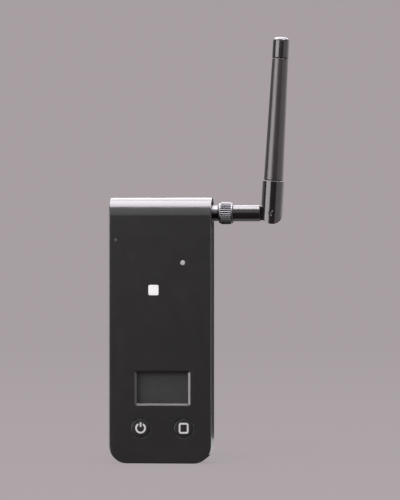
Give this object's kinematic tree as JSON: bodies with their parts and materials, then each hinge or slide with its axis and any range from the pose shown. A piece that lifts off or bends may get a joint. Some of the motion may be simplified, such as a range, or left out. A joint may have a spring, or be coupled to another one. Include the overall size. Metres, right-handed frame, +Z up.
{
  "type": "wireless receiver unit",
  "caption": "Slim black wireless receiver with a half-round top, small display, round push keys, a lit square indicator, and a folding whip antenna on a side jack; stand socket in its base.",
  "frame": {"origin": "centre of the stand socket's mouth, in the plane of the flat base", "axes": "+Z up along the case, +X towards the antenna's side, -Y out of the front face with the display"},
  "size_m": [0.084, 0.018, 0.1995],
  "materials": {
    "case_black": "smooth moulded gloss",
    "key_black": "semi-gloss cap",
    "window_smoke": "smoked clear window",
    "display_grey": "unlit display panel",
    "lens_white": "milky light pipe",
    "lens_grey": "frosted light pipe",
    "led_cream": "led package",
    "switch_black": "moulded",
    "plunger_brown": "moulded",
    "board_green": "solder mask",
    "chip_black": "moulded package",
    "tin_plate": "tin plated",
    "battery_silver": "foil pouch",
    "foam_black": "closed-cell foam",
    "flex_amber": "polyimide film",
    "lead_red": "insulated lead",
    "socket_ivory": "moulded",
    "steel": "blackened steel",
    "brass": "turned",
    "gold": "gold plated",
    "gunmetal": "dark nickel plated",
    "insulator_white": "fluoropolymer",
    "antenna_gloss": "gloss moulding",
    "antenna_satin": "satin moulding"
  },
  "bodies": {
    "case": {"front_shell": "case_black", "rear_shell": "case_black", "case_screw_1": "steel", "case_screw_2": "steel", "case_screw_3": "steel", "case_screw_4": "steel", "board_screw_1": "steel", "board_screw_2": "steel", "display_window": "window_smoke", "window_seal": "foam_black", "display_panel": "display_grey", "display_flex": "flex_amber", "display_socket": "socket_ivory", "indicator_lens": "lens_white", "indicator_led": "led_cream", "status_lens": "lens_grey", "status_led": "led_cream", "charge_lens": "lens_grey", "charge_led": "led_cream", "power_switch": "switch_black", "mode_switch": "switch_black", "main_board": "board_green", "radio_shield": "tin_plate", "radio_chip": "chip_black", "processor_chip": "chip_black", "audio_chip": "chip_black", "crystal": "tin_plate", "battery_pad": "foam_black", "battery": "battery_silver", "battery_lead": "lead_red", "battery_socket": "socket_ivory", "usb_socket": "tin_plate", "audio_jack": "switch_black", "stand_socket": "brass", "antenna_jack": "gunmetal", "jack_insulator": "insulator_white", "jack_contact": "gold"},
    "nut": {"coupling_nut": "gunmetal"},
    "swivel": {"plug_sleeve": "gold", "plug_contact": "gold", "swivel_base": "antenna_gloss", "hinge_pin": "steel"},
    "whip": {"whip_foot": "antenna_gloss", "whip_cover": "antenna_satin", "radiating_rod": "brass", "whip_cap": "antenna_gloss"},
    "power_button": {"power_key": "key_black", "power_plunger": "plunger_brown"},
    "mode_button": {"mode_key": "key_black", "mode_plunger": "plunger_brown"}
  },
  "joints": [
    {"name": "coupling_nut_turn", "type": "hinge", "parent": "case", "child": "nut", "pos_m": [0.0303, 0, 0.117], "axis": [1, 0, 0], "continuous": true},
    {"name": "antenna_swivel", "type": "hinge", "parent": "case", "child": "swivel", "pos_m": [0.04, 0, 0.117], "axis": [1, 0, 0], "continuous": true},
    {"name": "antenna_tilt", "type": "hinge", "parent": "swivel", "child": "whip", "pos_m": [0.0517, 0, 0.117], "axis": [0, 1, 0], "range_deg": [-3.2, 86.8]},
    {"name": "power_key_press", "type": "slide", "parent": "case", "child": "power_button", "axis": [0, 1, 0], "range_m": [0, 0.0004], "stiffness_N_per_m": 4000},
    {"name": "mode_key_press", "type": "slide", "parent": "case", "child": "mode_button", "axis": [0, 1, 0], "range_m": [0, 0.0004], "stiffness_N_per_m": 4000}
  ]
}
